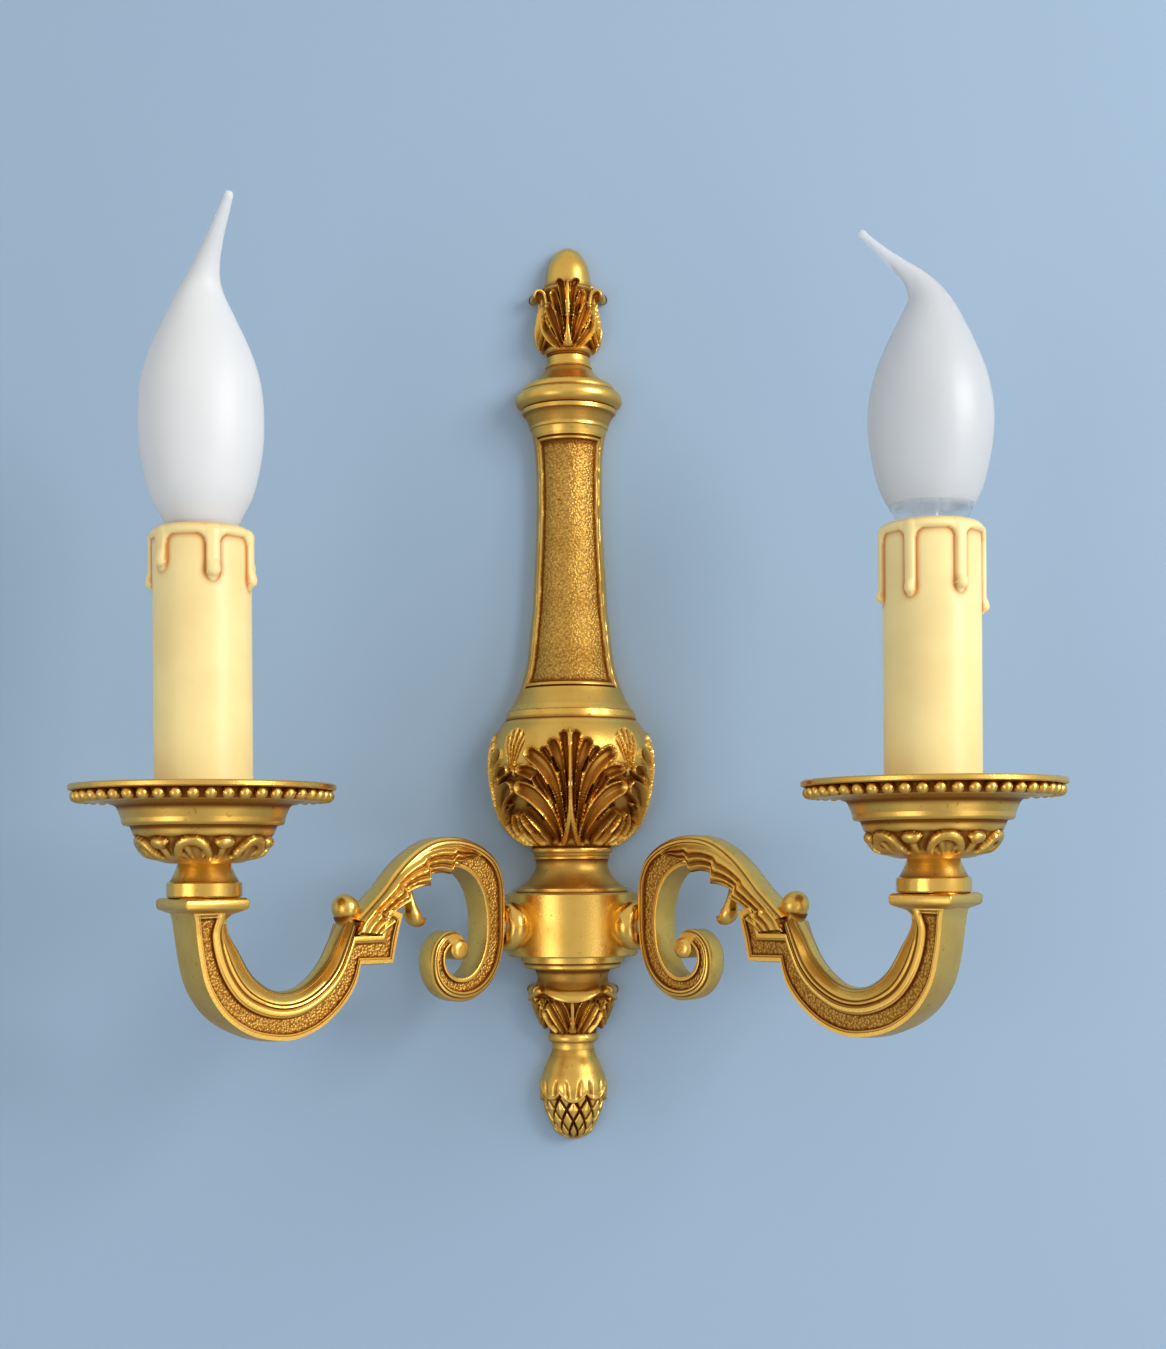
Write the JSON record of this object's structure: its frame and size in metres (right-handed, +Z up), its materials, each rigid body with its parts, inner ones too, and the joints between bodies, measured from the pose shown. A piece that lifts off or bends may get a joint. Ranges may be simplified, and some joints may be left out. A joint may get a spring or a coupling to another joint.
{
  "type": "wall sconce",
  "caption": "Wall sconce in cast brass: half-round column with finials, scrolled arms, beaded drip pans, candle sleeves and screw-in candle lamps with bent tips.",
  "frame": {"origin": "on the wall, at the centre of the keyhole's round mouth behind the vase", "axes": "+Z up the column, +Y into the wall, +X towards the right-hand candle as seen from the front"},
  "size_m": [0.281, 0.1196, 0.2918],
  "materials": {
    "cast_brass": "cast, satin, with dark brown patina in the recesses",
    "turned_brass": "turned, polished",
    "plated_steel": "zinc plated",
    "ivory_plastic": "ivory, waxy, shaded under the drips",
    "holder_plastic": "black moulding",
    "insulator": "white moulding",
    "lead_sheath": "smooth sheath",
    "frosted_glass": "frosted, pearl white",
    "clear_glass": "clear",
    "lamp_metal": "bright, rolled thread",
    "tungsten": "fine wire"
  },
  "bodies": {
    "wall_light": {"top_finial": "cast_brass", "column_collar": "cast_brass", "column_shaft": "cast_brass", "vase": "cast_brass", "hub": "cast_brass", "pendant_cup": "cast_brass", "pine_finial": "cast_brass", "hanger_plate": "plated_steel", "hanger_screws": "plated_steel", "terminal_block": "insulator", "terminal_screws": "plated_steel", "earth_screw": "turned_brass", "upper_stud": "plated_steel", "shaft_bolt": "plated_steel", "vase_bolt": "plated_steel", "pendant_bolt": "plated_steel", "left_arm": "cast_brass", "left_arm_boss": "turned_brass", "left_arm_nipple": "plated_steel", "left_arm_nut": "plated_steel", "left_lead": "lead_sheath", "left_neck_spacer": "turned_brass", "left_leaf_cup": "cast_brass", "left_drip_pan": "cast_brass", "left_lamp_nipple": "plated_steel", "left_lock_nut": "plated_steel", "left_holder_bracket": "plated_steel", "left_lampholder": "holder_plastic", "left_lampholder_shell": "plated_steel", "left_holder_contact": "turned_brass", "right_arm": "cast_brass", "right_arm_boss": "turned_brass", "right_arm_nipple": "plated_steel", "right_arm_nut": "plated_steel", "right_lead": "lead_sheath", "right_neck_spacer": "turned_brass", "right_leaf_cup": "cast_brass", "right_drip_pan": "cast_brass", "right_lamp_nipple": "plated_steel", "right_lock_nut": "plated_steel", "right_holder_bracket": "plated_steel", "right_lampholder": "holder_plastic", "right_lampholder_shell": "plated_steel", "right_holder_contact": "turned_brass"},
    "left_sleeve": {"left_candle_sleeve": "ivory_plastic"},
    "left_lamp_lift": {"left_bulb_contact": "insulator"},
    "left_lamp": {"left_bulb_cap": "lamp_metal", "left_bulb_glass": "frosted_glass", "left_bulb_stem": "clear_glass", "left_bulb_filament": "tungsten"},
    "right_sleeve": {"right_candle_sleeve": "ivory_plastic"},
    "right_lamp_lift": {"right_bulb_contact": "insulator"},
    "right_lamp": {"right_bulb_cap": "lamp_metal", "right_bulb_glass": "frosted_glass", "right_bulb_stem": "clear_glass", "right_bulb_filament": "tungsten"}
  },
  "joints": [
    {"name": "left_sleeve_turn", "type": "hinge", "parent": "wall_light", "child": "left_sleeve", "pos_m": [-0.10316, -0.08235, 0.03], "axis": [0, 0, 1], "continuous": true},
    {"name": "left_lamp_rise", "type": "slide", "parent": "wall_light", "child": "left_lamp_lift", "axis": [0, 0, 1], "range_m": [0, 0.0085]},
    {"name": "left_lamp_turn", "type": "hinge", "parent": "left_lamp_lift", "child": "left_lamp", "pos_m": [-0.10316, -0.08235, 0.03], "axis": [0, 0, 1], "range_deg": [0, 1080]},
    {"name": "right_sleeve_turn", "type": "hinge", "parent": "wall_light", "child": "right_sleeve", "pos_m": [0.10316, -0.08235, 0.03], "axis": [0, 0, 1], "continuous": true},
    {"name": "right_lamp_rise", "type": "slide", "parent": "wall_light", "child": "right_lamp_lift", "axis": [0, 0, 1], "range_m": [0, 0.0085]},
    {"name": "right_lamp_turn", "type": "hinge", "parent": "right_lamp_lift", "child": "right_lamp", "pos_m": [0.10316, -0.08235, 0.03], "axis": [0, 0, 1], "range_deg": [0, 1080]}
  ],
  "couplings": [
    {"joint": "left_lamp_rise", "follows": "left_lamp_turn", "m_per_rad": 0.00044882},
    {"joint": "right_lamp_rise", "follows": "right_lamp_turn", "m_per_rad": 0.00044882}
  ]
}
